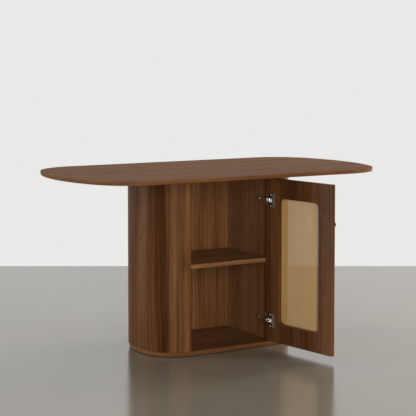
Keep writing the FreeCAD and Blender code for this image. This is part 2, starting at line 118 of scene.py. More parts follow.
top_low, top_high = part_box("tabletop")
shell_low, shell_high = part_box("right_end_shell")
stile_low, stile_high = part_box("right_stile")
back_low, back_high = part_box("back_panel")
door_low_z, door_high_z = (corner.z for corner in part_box("door_frame"))
pedestal_length = 2 * shell_high.x
pedestal_depth = 2 * back_high.y
opening_x = stile_low.x
seam_x = stile_high.x
front_y = -pedestal_depth / 2
door_hinge_x = opening_x - DOOR_SIDE_GAP
door_free_x = -door_hinge_x
door_inner_y = front_y + DOOR_THICKNESS
cane_edge = SPLINE_WIDTH - CANE_LAP


# -------------------------------------------------------------- node-tree helpers
def add_node(tree, kind, inputs=None, **settings):
    """A node with its settings made and its sockets set or joined."""
    made = tree.nodes.new(kind)
    for key, value in settings.items():
        setattr(made, key, value)
    for key, value in (inputs or {}).items():
        if isinstance(value, bpy.types.NodeSocket):
            tree.links.new(value, made.inputs[key])
        else:
            made.inputs[key].default_value = value
    return made


def maths(tree, operation, *values):
    """The result of a Math node on numbers or sockets."""
    return add_node(tree, "ShaderNodeMath", dict(enumerate(values)), operation=operation).outputs[0]


def noise(tree, vector, scale=1.0, detail=2.0, roughness=0.5):
    """A noise value from 0 to 1."""
    inputs = {"Vector": vector, "Scale": scale, "Detail": detail, "Roughness": roughness}
    return add_node(tree, "ShaderNodeTexNoise", inputs).outputs[0]


def ramp(tree, value, stops, interpolation="EASE"):
    """A colour from a value, by (place, colour) stops."""
    made = add_node(tree, "ShaderNodeValToRGB", {0: value})
    made.color_ramp.interpolation = interpolation
    elements = made.color_ramp.elements
    for index, (place, colour) in enumerate(stops):
        element = elements[index] if index < 2 else elements.new(place)
        element.position = place
        element.color = (*colour, 1.0)
    return made.outputs[0]


def new_material(name):
    """An empty node material, its tree and its shader."""
    material = bpy.data.materials.new(name)
    material.use_nodes = True
    tree = material.node_tree
    tree.nodes.clear()
    shader = add_node(tree, "ShaderNodeBsdfPrincipled")
    output = add_node(tree, "ShaderNodeOutputMaterial")
    tree.links.new(shader.outputs[0], output.inputs["Surface"])
    return material, tree, shader


def combine(tree, x, y, z):
    """A vector from three numbers or sockets."""
    return add_node(tree, "ShaderNodeCombineXYZ", {0: x, 1: y, 2: z}).outputs[0]


def weigh(tree, value, middle, weight, base):
    """A base plus a value's distance from a middle, times a weight."""
    return maths(tree, "MULTIPLY_ADD", maths(tree, "SUBTRACT", value, middle), weight, base)


def vector_maths(tree, operation, first, second):
    """A Vector Math node on two vectors or sockets."""
    return add_node(tree, "ShaderNodeVectorMath", {0: first, 1: second}, operation=operation)


def bump(tree, height, strength, distance):
    """A normal bumped by a height."""
    inputs = {"Height": height, "Strength": strength, "Distance": distance}
    return add_node(tree, "ShaderNodeBump", inputs).outputs[0]


# ---------------------------------------------------------------------- materials
WALNUT_STOPS = (
    (0.00, (0.023, 0.0074, 0.0022)),
    (0.30, (0.069, 0.0245, 0.0074)),
    (0.52, (0.131, 0.0520, 0.0168)),
    (0.74, (0.197, 0.0860, 0.0315)),
    (1.00, (0.305, 0.1500, 0.0650)),
)
CROWN_HALF_WIDTH = 0.030
NICKEL = (0.80, 0.79, 0.77)
ZINC = (0.62, 0.61, 0.59)


def bell(tree, value, centre, half_width):
    """A bump of 1 at a centre, which falls off on both sides."""
    away = maths(tree, "DIVIDE", maths(tree, "SUBTRACT", value, centre), half_width)
    squared = maths(tree, "MULTIPLY", away, away)
    return maths(tree, "POWER", math.e, maths(tree, "MULTIPLY", squared, -1.0))


def spot(tree, u, v, centre, half_size):
    """A soft spot of 1 at a centre, which falls off both ways."""
    across = bell(tree, u, centre[0], half_size[0])
    return maths(tree, "MULTIPLY", across, bell(tree, v, centre[1], half_size[1]))


def grain_noise(tree, across, along, fineness, length, seed, detail=2.0, roughness=0.5):
    """Noise drawn out along the grain: fineness across and length along, in features a metre."""
    u = maths(tree, "MULTIPLY", across, fineness)
    v = maths(tree, "MULTIPLY", along, length)
    return noise(tree, combine(tree, u, v, seed), detail=detail, roughness=roughness)


def walnut(name, seed, leaf=0.30, heart=0.5, offset=0.0, slope=-0.20, ring_gap=0.0060, arch=0.0016,
           knots=(), grain_and_light_bands=(), crown=None, tone=0.0, figure=1.0, roughness=0.34, gloss=0.10):
    """Satin walnut veneer: mirrored leaves with arched figure, streaks, knots and pores.

    A leaf's heart is a share of its width, and the slope and the arch shape the rings there.
    A knot is (u, v, half width, half height, swell of the rings round it, darkness).
    A band is (u, half width, lightness) and runs the whole length of the grain; bands carry streaks
    of the grain as well as painted shade and painted highlights.
    A crown is (strength, v, half height) and brings out the arches and knots there.
    """
    material, tree, shader = new_material(name)
    place = add_node(tree, "ShaderNodeUVMap", uv_map=GRAIN).outputs[0]
    split = add_node(tree, "ShaderNodeSeparateXYZ", {0: place})
    across, along = split.outputs[0], split.outputs[1]

    # The grain wanders a little. Its noises run from broad tone through streaks and fibres to pores.
    drift = weigh(tree, grain_noise(tree, across, along, 5.0, 1.6, seed), 0.5, 0.036, across)
    broad = grain_noise(tree, drift, along, 17.0, 0.55, seed + 3, detail=1.0)
    streak = grain_noise(tree, drift, along, 105.0, 1.8, seed + 5, detail=4.0, roughness=0.62)
    fibre = grain_noise(tree, drift, along, 620.0, 11.0, seed + 7, detail=3.0, roughness=0.6)
    pore = grain_noise(tree, across, along, 2100.0, 70.0, seed + 9, detail=1.0)
    wobble = grain_noise(tree, across, along, 26.0, 5.0, seed + 11, detail=3.0, roughness=0.55)
    vigour = grain_noise(tree, across, along, 7.0, 1.3, seed + 13)

    # Growth rings meet a leaf as nested arches, which run out into straight lines.
    folded = maths(tree, "PINGPONG", maths(tree, "ADD", drift, offset), leaf)
    off_heart = maths(tree, "SUBTRACT", folded, heart * leaf)
    depth = maths(tree, "SQRT", maths(tree, "MULTIPLY_ADD", off_heart, off_heart, arch))
    depth = maths(tree, "MULTIPLY_ADD", along, slope, depth)
    depth = maths(tree, "MULTIPLY_ADD", wobble, 0.022, depth)
    darkness = 0.0
    swirl = 0.0
    for knot_u, knot_v, half_width, half_height, swell, dark in knots:
        near = spot(tree, drift, along, (knot_u, knot_v), (half_width, half_height))
        depth = maths(tree, "MULTIPLY_ADD", near, swell, depth)
        swirl = maths(tree, "ADD", near, swirl)
        core = maths(tree, "POWER", near, 5.0)
        darkness = maths(tree, "MULTIPLY_ADD", core, dark, darkness)
    ring = maths(tree, "FRACT", maths(tree, "DIVIDE", depth, ring_gap))
    late = maths(tree, "POWER", ring, 1.7)
    vigour = maths(tree, "MULTIPLY", maths(tree, "SUBTRACT", vigour, 0.26), 0.70 * figure)
    vigour = maths(tree, "MAXIMUM", vigour, 0.04)
    if crown:
        strength, crown_v, half_height = crown
        patch = spot(tree, off_heart, along, (0.0, crown_v), (CROWN_HALF_WIDTH, half_height))
        arched = maths(tree, "MULTIPLY_ADD", swirl, 1.5, patch)
        vigour = maths(tree, "MULTIPLY_ADD", arched, strength, vigour)

    # No two rings are alike, so each has a strength of its own.
    own = grain_noise(tree, depth, along, 95.0, 2.5, seed + 17, detail=1.0)
    own = maths(tree, "MULTIPLY", maths(tree, "SUBTRACT", own, 0.36), 3.6)
    own = maths(tree, "MINIMUM", maths(tree, "MAXIMUM", own, 0.0), 1.5)
    vigour = maths(tree, "MULTIPLY", vigour, own)

    shade = weigh(tree, broad, 0.5, 0.80, 0.55 + tone)
    shade = weigh(tree, streak, 0.5, 0.85, shade)
    shade = weigh(tree, fibre, 0.5, 0.34, shade)
    shade = maths(tree, "SUBTRACT", shade, maths(tree, "MULTIPLY", late, vigour))
    shade = maths(tree, "SUBTRACT", shade, darkness)
    # Bands lighten or darken whole lengths of the grain: streaks, and also painted shade and painted
    # highlights.
    for band_u, half_width, lightness in grain_and_light_bands:
        shade = maths(tree, "MULTIPLY_ADD", bell(tree, drift, band_u, half_width), lightness, shade)
    open_pore = maths(tree, "GREATER_THAN", pore, 0.64)
    shade = maths(tree, "MULTIPLY_ADD", open_pore, -0.10, shade)
    colour = ramp(tree, shade, WALNUT_STOPS, "LINEAR")
    tree.links.new(colour, shader.inputs["Base Color"])

    satin = maths(tree, "MULTIPLY_ADD", streak, 0.12, roughness - 0.06)
    tree.links.new(satin, shader.inputs["Roughness"])
    shader.inputs["Specular IOR Level"].default_value = gloss
    relief = maths(tree, "MULTIPLY_ADD", open_pore, -0.8, fibre)
    tree.links.new(bump(tree, relief, 0.12, 0.0004), shader.inputs["Normal"])
    return material


def cane_fibre():
    """Split cane: straw strands with fine fibres and small shifts of tone."""
    material, tree, shader = new_material("cane_fibre")
    place = add_node(tree, "ShaderNodeUVMap", uv_map=GRAIN).outputs[0]
    split = add_node(tree, "ShaderNodeSeparateXYZ", {0: place})
    across, along = split.outputs[0], split.outputs[1]
    strand = grain_noise(tree, across, along, 55.0, 3.0, 2.0)
    fibre = grain_noise(tree, across, along, 5200.0, 60.0, 4.0)
    shade = weigh(tree, fibre, 0.5, 0.45, strand)
    colour = ramp(tree, shade, (
        (0.15, (0.590, 0.305, 0.084)),
        (0.50, (0.770, 0.460, 0.146)),
        (0.85, (0.860, 0.570, 0.212)),
    ))
    tree.links.new(colour, shader.inputs["Base Color"])
    tree.links.new(maths(tree, "MULTIPLY_ADD", fibre, 0.2, 0.38), shader.inputs["Roughness"])
    tree.links.new(bump(tree, fibre, 0.25, 0.0002), shader.inputs["Normal"])
    return material


def metal(name, colour, roughness, strip=None):
    """Plated metal with faint drawing marks.

    A strip (origin, direction, start, roughness) is satin from its start on.
    """
    material, tree, shader = new_material(name)
    place = add_node(tree, "ShaderNodeTexCoord").outputs["Object"]
    mark = noise(tree, place, scale=900.0)
    tint = noise(tree, place, scale=60.0)
    darker = tuple(channel * 0.86 for channel in colour)
    tree.links.new(ramp(tree, tint, ((0.3, darker), (0.7, colour))), shader.inputs["Base Color"])
    shader.inputs["Metallic"].default_value = 1.0
    polish = maths(tree, "MULTIPLY_ADD", mark, 0.14, roughness - 0.07)
    if strip:
        origin, direction, start, satin = strip
        away = vector_maths(tree, "SUBTRACT", place, tuple(origin)).outputs[0]
        reach = vector_maths(tree, "DOT_PRODUCT", away, tuple(direction)).outputs["Value"]
        beyond = maths(tree, "GREATER_THAN", reach, start)
        polish = maths(tree, "MULTIPLY_ADD", beyond, satin - roughness, polish)
    tree.links.new(polish, shader.inputs["Roughness"])
    tree.links.new(bump(tree, mark, 0.04, 0.0001), shader.inputs["Normal"])
    return material


def raw_board():
    """Bare fibreboard, for the pieces inside the pedestal."""
    material, tree, shader = new_material("raw_board")
    place = add_node(tree, "ShaderNodeTexCoord").outputs["Object"]
    fleck = noise(tree, place, scale=700.0, detail=4.0, roughness=0.7)
    colour = ramp(tree, fleck, ((0.3, (0.24, 0.15, 0.085)), (0.7, (0.36, 0.24, 0.15))))
    tree.links.new(colour, shader.inputs["Base Color"])
    tree.links.new(maths(tree, "MULTIPLY_ADD", fleck, 0.1, 0.8), shader.inputs["Roughness"])
    return material


def dark_plastic():
    """Moulded plastic of the floor glides."""
    material, tree, shader = new_material("dark_plastic")
    place = add_node(tree, "ShaderNodeTexCoord").outputs["Object"]
    grain = noise(tree, place, scale=1500.0)
    colour = ramp(tree, grain, ((0.3, (0.018, 0.016, 0.014)), (0.7, (0.030, 0.027, 0.024))))
    tree.links.new(colour, shader.inputs["Base Color"])
    tree.links.new(maths(tree, "MULTIPLY_ADD", grain, 0.15, 0.45), shader.inputs["Roughness"])
    tree.links.new(bump(tree, grain, 0.1, 0.0001), shader.inputs["Normal"])
    return material


# ------------------------------------------------------------------ grain layouts
def plan_arcs(length, width, corner_radius, end_radius):
    """The angle at which a plan's arcs meet, its end's centre x, and its corner's centre x and y."""
    reach = end_radius - corner_radius
    tilt = math.asin((width / 2 - corner_radius) / reach)
    end_centre = length / 2 - end_radius
    return tilt, end_centre, end_centre + reach * math.cos(tilt), reach * math.sin(tilt)


def plan_arc_length(x, y):
    """How far round the pedestal's plan a place is from the tip of its end, signed by side."""
    tilt, end_centre, corner_x, corner_y = plan_arcs(pedestal_length, pedestal_depth,
                                                     PEDESTAL_CORNER_RADIUS, PEDESTAL_END_RADIUS)
    px, py = abs(x), abs(y)
    end_run = PEDESTAL_END_RADIUS * tilt
    if px <= corner_x:
        run = end_run + PEDESTAL_CORNER_RADIUS * (math.pi / 2 - tilt) + corner_x - px
    else:
        turn = math.atan2(py - corner_y, px - corner_x)
        if turn >= tilt:
            run = end_run + PEDESTAL_CORNER_RADIUS * (turn - tilt)
        else:
            run = PEDESTAL_END_RADIUS * math.atan2(py, px - end_centre)
    return math.copysign(run, y)


def grain_round(place, normal):
    """Upright grain that wraps round the pedestal's outside."""
    if abs(normal.z) > 0.7:
        return place.x, place.y
    return plan_arc_length(place.x, place.y), place.z


def grain_upright(place, normal):
    """Upright grain on a flat upright board."""
    if abs(normal.z) > 0.7:
        return place.x, place.y
    if abs(normal.x) > 0.7:
        return place.y, place.z
    return place.x, place.z


def grain_level(place, normal):
    """Grain along X, as on the top, the shelf and the cabinet's floor."""
    if abs(normal.z) > 0.7:
        return place.y, place.x
    if abs(normal.x) > 0.7:
        return place.z, place.y
    return place.z + place.y, place.x


def grain_turned(place, normal):
    """Grain along a turned piece's axis, wrapped round it."""
    return math.atan2(place.y, place.x) * KNOB_GRAIN_RADIUS, place.z


# ------------------------------------------------------------------- mesh helpers
def map_grain(bm, layout, shift):
    """Writes the GRAIN map by each face's own direction."""
    layer = bm.loops.layers.uv.new(GRAIN)
    bm.normal_update()
    for face in bm.faces:
        for loop in face.loops:
            u, v = layout(loop.vert.co, face.normal)
            loop[layer].uv = (u + shift[0], v + shift[1])


def link_mesh(bm, name):
    """An object in the scene that holds a drawn mesh."""
    mesh = bpy.data.meshes.new(name)
    bm.to_mesh(mesh)
    bm.free()
    made = bpy.data.objects.new(name, mesh)
    bpy.context.scene.collection.objects.link(made)
    return made


def finish_piece(bm, name, body, material, node, matrix=None):
    """A smooth-shaded piece that rides on its body and stands for its CAD node."""
    if matrix is not None:
        bm.transform(matrix)
    piece = link_mesh(bm, name)
    piece.data.materials.append(material)
    piece.data.polygons.foreach_set("use_smooth", [True] * len(piece.data.polygons))
    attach(piece, body)
    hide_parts(node)
    weighted = piece.modifiers.new("even_normals", "WEIGHTED_NORMAL")
    weighted.weight = 100
    return piece


def ease_edges(bm, width):
    """Rounds every sharp edge."""
    sharp = [edge for edge in bm.edges
             if len(edge.link_faces) == 2 and edge.calc_face_angle(0.0) > SHARP_ANGLE]
    bmesh.ops.bevel(bm, geom=sharp, offset=width, segments=2, profile=0.5, affect="EDGES",
                    clamp_overlap=True)


def add_loft(bm, rings, closed=False):
    """Skins rings of equally many points, in order, and caps the ends unless they meet."""
    loops = [[bm.verts.new(point) for point in ring] for ring in rings]
    pairs = list(zip(loops, loops[1:]))
    if closed:
        pairs.append((loops[-1], loops[0]))
    for lower, upper in pairs:
        count = len(lower)
        for index in range(count):
            after = (index + 1) % count
            bm.faces.new((lower[index], lower[after], upper[after], upper[index]))
    if not closed:
        bm.faces.new(loops[0][::-1])
        bm.faces.new(loops[-1])
    bmesh.ops.recalc_face_normals(bm, faces=bm.faces)


def round_ended_plan(length, width, corner_radius, end_radius, corner_steps=28, end_steps=14):
    """Points round a plan of straight sides, corner arcs and shallow end arcs."""
    tilt, end_centre, corner_x, corner_y = plan_arcs(length, width, corner_radius, end_radius)
    quarter = []
    for step in range(end_steps):
        angle = tilt * step / end_steps
        quarter.append((end_centre + end_radius * math.cos(angle), end_radius * math.sin(angle)))
    for step in range(corner_steps + 1):
        angle = tilt + (math.pi / 2 - tilt) * step / corner_steps
        quarter.append((corner_x + corner_radius * math.cos(angle),
                        corner_y + corner_radius * math.sin(angle)))
    upper = quarter + [(-x, y) for x, y in quarter[::-1]]
    lower = [(x, -y) for x, y in upper[::-1]]
    return upper + lower[1:-1]


def rounding(ring, place, radius, place_way, inset_way, steps=3):
    """Rings round a quarter turn at a face's place, from the side to the face."""
    rings = []
    for step in range(steps + 1):
        turn = math.pi / 2 * step / steps
        rings.append(ring(inset_way * radius * (1 - math.cos(turn)),
                          place - place_way * radius * (1 - math.sin(turn))))
    return rings


def pedestal_plan(inset):
    """The pedestal's plan, drawn in by an even inset."""
    return round_ended_plan(pedestal_length - 2 * inset, pedestal_depth - 2 * inset,
                            PEDESTAL_CORNER_RADIUS - inset, PEDESTAL_END_RADIUS - inset)


def clipped_plan(points, low_x, high_x):
    """The stretch of a plan line between two x values, its ends cut exactly there."""
    kept = []
    for (x0, y0), (x1, y1) in zip(points, points[1:]):
        for cut in (low_x, high_x):
            if (x0 - cut) * (x1 - cut) < 0:
                share = (cut - x0) / (x1 - x0)
                kept.append((cut, y0 + share * (y1 - y0)))
        if low_x - 1e-9 <= x1 <= high_x + 1e-9:
            kept.append((x1, y1))
    return kept


def add_prism(bm, outline, z0, z1):
    """An upright prism on a plan outline."""
    add_loft(bm, [[(x, y, z) for x, y in outline] for z in (z0, z1)])


def side_line(y_sign):
    """The pedestal's plan line along its front (-1) or back (1), from left to right."""
    points = [(x, y) for x, y in pedestal_plan(0.0) if y * y_sign > 0]
    return sorted(set(points))


# ------------------------------------------------------------------------ boards
def make_board(name, node, layout, shift, material):
    """A flat board the size of its CAD node, with eased edges."""
    low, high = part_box(node)
    bm = bmesh.new()
    outline = [(low.x, low.y), (high.x, low.y), (high.x, high.y), (low.x, high.y)]
    add_prism(bm, outline, low.z, high.z)
    ease_edges(bm, BOARD_EASE)
    map_grain(bm, layout, shift)
    return finish_piece(bm, name, "pedestal", material, node)


def tabletop_ring(inset, z):
    """The tabletop's outline at a height, drawn in by an inset."""
    length, width = top_high.x - top_low.x, top_high.y - top_low.y
    plan = round_ended_plan(length - 2 * inset, width - 2 * inset, TOP_CORNER_RADIUS - inset,
                            TOP_END_RADIUS - inset, corner_steps=40, end_steps=20)
    return [(x, y, z) for x, y in plan]


def make_tabletop(material):
    """The long top with a rounded edge."""
    rings = rounding(tabletop_ring, top_low.z, TOP_EDGE_RADIUS, -1, 1, steps=4)[::-1]
    rings += rounding(tabletop_ring, top_high.z, TOP_EDGE_RADIUS, 1, 1, steps=4)
    bm = bmesh.new()
    add_loft(bm, rings)
    map_grain(bm, grain_level, (0.40, 0.15))
    return finish_piece(bm, "tabletop_veneered", "pedestal", material, "tabletop")


def make_base_plate(material):
    """The board under the pedestal."""
    low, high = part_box("base_plate")
    bm = bmesh.new()
    add_prism(bm, pedestal_plan(shell_high.x - high.x), low.z, high.z)
    ease_edges(bm, BOARD_EASE)
    map_grain(bm, grain_level, (1.9, 0.7))
    return finish_piece(bm, "base_plate_banded", "pedestal", material, "base_plate")


def end_line(inset, side):
    """The pedestal's plan line round one end, from the front seam to the back seam."""
    plan = [(x, y) for x, y in pedestal_plan(inset) if x > 0]
    plan.sort(key=lambda point: math.atan2(point[1], point[0]))
    line = clipped_plan(plan, seam_x, pedestal_length)
    return [(side * x, y) for x, y in line]


def make_end_shell(name, side, material):
    """A bent shell round one end."""
    outer = end_line(0.0, side)
    inner = end_line(SHELL_THICKNESS, side)
    bm = bmesh.new()
    add_prism(bm, outer + inner[::-1], shell_low.z, shell_high.z)
    ease_edges(bm, BOARD_EASE)
    map_grain(bm, grain_round, (0.0 if side < 0 else 3.0, 0.0))
    return finish_piece(bm, name + "_veneered", "pedestal", material, name)


def make_stile(name, side, material):
    """A solid upright at one side of the opening."""
    line = clipped_plan(side_line(-1), opening_x, seam_x)
    outline = [(side * x, y) for x, y in line]
    outline += [(side * seam_x, stile_high.y), (side * opening_x, stile_high.y)]
    bm = bmesh.new()
    add_prism(bm, outline, stile_low.z, stile_high.z)
    ease_edges(bm, BOARD_EASE)
    map_grain(bm, grain_round, (0.0 if side < 0 else 3.0, 0.0))
    return finish_piece(bm, name + "_veneered", "pedestal", material, name)


def make_back_panel(material):
    """The flat back."""
    line = clipped_plan(side_line(1), -seam_x, seam_x)
    outline = line[::-1] + [(-seam_x, back_low.y), (seam_x, back_low.y)]
    bm = bmesh.new()
    add_prism(bm, outline, back_low.z, back_high.z)
    ease_edges(bm, BOARD_EASE)
    map_grain(bm, grain_upright, (5.0, 0.0))
    return finish_piece(bm, "back_panel_veneered", "pedestal", material,
                        "back_panel")


# ------------------------------------------------------------------ door, drawn shut
def rounded_rectangle(x0, x1, z0, z1, radius, y):
    """Points round an upright rectangle with round corners."""
    points = []
    centres = ((x1 - radius, z0 + radius, -90), (x1 - radius, z1 - radius, 0),
               (x0 + radius, z1 - radius, 90), (x0 + radius, z0 + radius, 180))
    for cx, cz, start in centres:
        for step in range(CORNER_STEPS + 1):
            angle = math.radians(start + 90 * step / CORNER_STEPS)
            points.append((cx + radius * math.cos(angle), y, cz + radius * math.sin(angle)))
    return points


def window_sides(inset):
    """The window's low and high x and its low and high z, drawn in by an inset."""
    return (door_free_x + WINDOW_SIDE_MARGIN + inset, door_hinge_x - WINDOW_SIDE_MARGIN - inset,
            door_low_z + WINDOW_BOTTOM_MARGIN + inset, door_high_z - WINDOW_TOP_MARGIN - inset)


def window_ring(inset, y):
    """The window's outline, drawn in by an inset."""
    return rounded_rectangle(*window_sides(inset), WINDOW_CORNER_RADIUS - inset, y)


def leaf_ring(inset, y):
    """The door leaf's outline, drawn in by an inset."""
    return rounded_rectangle(door_free_x + inset, door_hinge_x - inset, door_low_z + inset,
                             door_high_z - inset, DOOR_CORNER_RADIUS, y)


def hinge_heights():
    """The heights of the two hinges' middles."""
    heights = []
    for name in ("lower_hinge_cup", "upper_hinge_cup"):
        low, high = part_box(name)
        heights.append((low.z + high.z) / 2)
    return heights


def bored(bm, centres, radius, depth):
    """A mesh with round bores cut into it along y."""
    leaf = link_mesh(bm, "leaf")
    drills = []
    turns = [2 * math.pi * step / BORE_STEPS for step in range(BORE_STEPS)]
    for centre in centres:
        rings = []
        for y in (centre.y - depth, centre.y + depth):
            rings.append([(centre.x + radius * math.cos(turn), y, centre.z + radius * math.sin(turn))
                          for turn in turns])
        drill_bm = bmesh.new()
        add_loft(drill_bm, rings)
        drill = link_mesh(drill_bm, "drill")
        modifier = leaf.modifiers.new("bore", "BOOLEAN")
        modifier.object = drill
        modifier.operation = "DIFFERENCE"
        modifier.solver = "EXACT"
        drills.append(drill)
    evaluated = leaf.evaluated_get(bpy.context.evaluated_depsgraph_get())
    result = bmesh.new()
    result.from_mesh(evaluated.to_mesh())
    evaluated.to_mesh_clear()
    for spare in [leaf] + drills:
        bpy.data.objects.remove(spare)
    return result


def make_door_frame(material):
    """The door leaf with its window, the cane's rebate and groove, and the hinge bores."""
    rebate_y = front_y + CANE_THICKNESS
    groove_y = front_y + SPLINE_DEPTH
    rings = [window_ring(0.0, rebate_y)]
    rings += rounding(window_ring, door_inner_y, WINDOW_EDGE_RADIUS, 1, -1)
    rings += rounding(leaf_ring, door_inner_y, DOOR_EDGE_RADIUS, 1, 1)[::-1]
    rings += rounding(leaf_ring, front_y, DOOR_EDGE_RADIUS, -1, 1)
    rings += [window_ring(-CANE_LAP, front_y), window_ring(-CANE_LAP, groove_y)]
    rings += [window_ring(cane_edge, groove_y), window_ring(cane_edge, rebate_y)]
    bm = bmesh.new()
    add_loft(bm, rings, closed=True)
    cup_x = door_hinge_x - CUP_FROM_EDGE - CUP_RADIUS
    cup_places = [Vector((cup_x, door_inner_y, z)) for z in hinge_heights()]
    bm = bored(bm, cup_places, CUP_RADIUS, CUP_BORE_DEPTH)
    map_grain(bm, grain_upright, (7.2, 0.0))
    return finish_piece(bm, "door_frame_veneered", "door", material, "door_frame", swing)


def make_spline(material):
    """The reed pressed into the groove over the cane's edge, its face crowned."""
    floor_y = front_y + SPLINE_DEPTH
    steps = 6
    rings = [window_ring(cane_edge, floor_y), window_ring(-CANE_LAP, floor_y)]
    for step in range(steps + 1):
        share = step / steps
        crown = SPLINE_CROWN * (2 * share - 1) ** 2
        rings.append(window_ring(-CANE_LAP + SPLINE_WIDTH * share, front_y + crown))
    bm = bmesh.new()
    add_loft(bm, rings, closed=True)
    map_grain(bm, grain_upright, (9.1, 0.4))
    return finish_piece(bm, "cane_spline_reed", "door", material, "cane_spline", swing)


def inside_window(x, z, inset):
    """Whether a place lies in the window's outline, drawn in by an inset."""
    radius = WINDOW_CORNER_RADIUS - inset
    low_x, high_x, low_z, high_z = window_sides(inset)
    if not (low_x <= x <= high_x and low_z <= z <= high_z):
        return False
    corner_x = min(max(x, low_x + radius), high_x - radius)
    corner_z = min(max(z, low_z + radius), high_z - radius)
    return math.hypot(x - corner_x, z - corner_z) <= radius


def cane_rim(place, beyond):
    """Where a strand meets the spline, between a place inside it and one beyond it."""
    inside, outside = 0.0, 1.0
    for _ in range(RIM_HALVINGS):
        share = (inside + outside) / 2
        x = place[0] + (beyond[0] - place[0]) * share
        z = place[1] + (beyond[1] - place[1]) * share
        if inside_window(x, z, cane_edge):
            inside = share
        else:
            outside = share
    return x, z


def add_strand(bm, layer, places, lifts, index):
    """One flat strand through places in the window's plane, lifted over and under in turn."""
    middle_y = front_y + CANE_THICKNESS / 2
    width = STRAND_WIDTH * (1 + 0.05 * math.sin(index * 2.4) + 0.03 * math.sin(index * 5.9))
    run = Vector((places[-1][0] - places[0][0], 0, places[-1][1] - places[0][1])).normalized()
    side = run.cross(Vector((0, 1, 0))) * (width / 2)
    crown = Vector((0, STRAND_THICKNESS / 2, 0))
    rows = []
    for (x, z), lift in zip(places, lifts):
        centre = Vector((x, middle_y + lift * STRAND_LIFT, z))
        rows.append([bm.verts.new(centre + offset) for offset in (-side, crown, side, -crown)])
    edge_u = (0.0, width / 2, width, width / 2, 0.0)
    for number, (row, after) in enumerate(zip(rows, rows[1:])):
        v0, v1 = number * CANE_PITCH, (number + 1) * CANE_PITCH
        for corner in range(4):
            beyond = (corner + 1) % 4
            face = bm.faces.new((row[corner], row[beyond], after[beyond], after[corner]))
            us = (edge_u[corner], edge_u[corner + 1], edge_u[corner + 1], edge_u[corner])
            for loop, u, v in zip(face.loops, us, (v0, v0, v1, v1)):
                loop[layer].uv = (index * 0.037 + u, index * 0.83 + v)
    bm.faces.new(rows[0][::-1])
    bm.faces.new(rows[-1])


def make_cane(material):
    """Close cane webbing: flat strands up and across, each over one and under the next."""
    width = door_hinge_x - door_free_x - 2 * WINDOW_SIDE_MARGIN
    height = door_high_z - door_low_z - WINDOW_TOP_MARGIN - WINDOW_BOTTOM_MARGIN
    middle = ((door_free_x + door_hinge_x) / 2, door_low_z + WINDOW_BOTTOM_MARGIN + height / 2)
    reach = (int((width / 2 - cane_edge) / CANE_PITCH), int((height / 2 - cane_edge) / CANE_PITCH))
    bm = bmesh.new()
    layer = bm.loops.layers.uv.new(GRAIN)
    strands = 0
    for axis in (0, 1):
        for line in range(-reach[axis], reach[axis] + 1):
            places, lifts = [], []
            for crossing in range(-reach[1 - axis], reach[1 - axis] + 1):
                steps = (line, crossing) if axis == 0 else (crossing, line)
                x, z = middle[0] + steps[0] * CANE_PITCH, middle[1] + steps[1] * CANE_PITCH
                if inside_window(x, z, cane_edge):
                    places.append((x, z))
                    lifts.append((-1) ** (line + crossing + axis))
            if len(places) > 2:
                step = (0.0, CANE_PITCH) if axis == 0 else (CANE_PITCH, 0.0)
                before = (places[0][0] - step[0], places[0][1] - step[1])
                after = (places[-1][0] + step[0], places[-1][1] + step[1])
                places = [cane_rim(places[0], before)] + places + [cane_rim(places[-1], after)]
                lifts = [0.0] + lifts + [0.0]
                add_strand(bm, layer, places, lifts, strands)
                strands += 1
    bmesh.ops.recalc_face_normals(bm, faces=bm.faces)
    piece = finish_piece(bm, "cane_webbing", "door", material, "cane_panel", swing)
    piece.modifiers.clear()
    return piece


def add_lathe(bm, profile, steps):
    """A turned form about +Z from (radius, height) points that start and end on the axis."""
    bottom = bm.verts.new((0, 0, profile[0][1]))
    top = bm.verts.new((0, 0, profile[-1][1]))
    turns = [2 * math.pi * step / steps for step in range(steps)]
    rows = []
    for radius, height in profile[1:-1]:
        circle = [(radius * math.cos(turn), radius * math.sin(turn), height) for turn in turns]
        rows.append([bm.verts.new(place) for place in circle])
    for index in range(steps):
        after = (index + 1) % steps
        bm.faces.new((bottom, rows[0][after], rows[0][index]))
        bm.faces.new((top, rows[-1][index], rows[-1][after]))
        for lower, upper in zip(rows, rows[1:]):
            bm.faces.new((lower[index], lower[after], upper[after], upper[index]))
    bmesh.ops.recalc_face_normals(bm, faces=bm.faces)


# The foot, the neck, the head's underside and its crown, as (radius, height).
KNOB_PROFILE = (
    (0.0, 0.0), (0.0062, 0.0), (0.0065, 0.0004), (0.0065, 0.0021), (0.0061, 0.0026),
    (0.0052, 0.0033), (0.0046, 0.0049), (0.0044, 0.0075), (0.0046, 0.0102), (0.0054, 0.0127),
    (0.0071, 0.0147), (0.0088, 0.0166), (0.0097, 0.0188), (0.0100, 0.0209), (0.0097, 0.0227),
    (0.0088, 0.0240), (0.0070, 0.0246), (0.0039, 0.0249), (0.0, 0.0250),
)


def make_knob(material):
    """The turned knob on the door's outer face."""
    bm = bmesh.new()
    add_lathe(bm, KNOB_PROFILE, KNOB_STEPS)
    map_grain(bm, grain_turned, (11.0, 0.3))
    place = Vector((door_free_x + KNOB_FROM_EDGE, front_y, door_high_z - KNOB_DROP))
    out = Matrix.Translation(place) @ Matrix.Rotation(math.radians(90), 4, "X")
    return finish_piece(bm, "door_knob_turned", "door", material, "door_knob",
                        swing @ out)


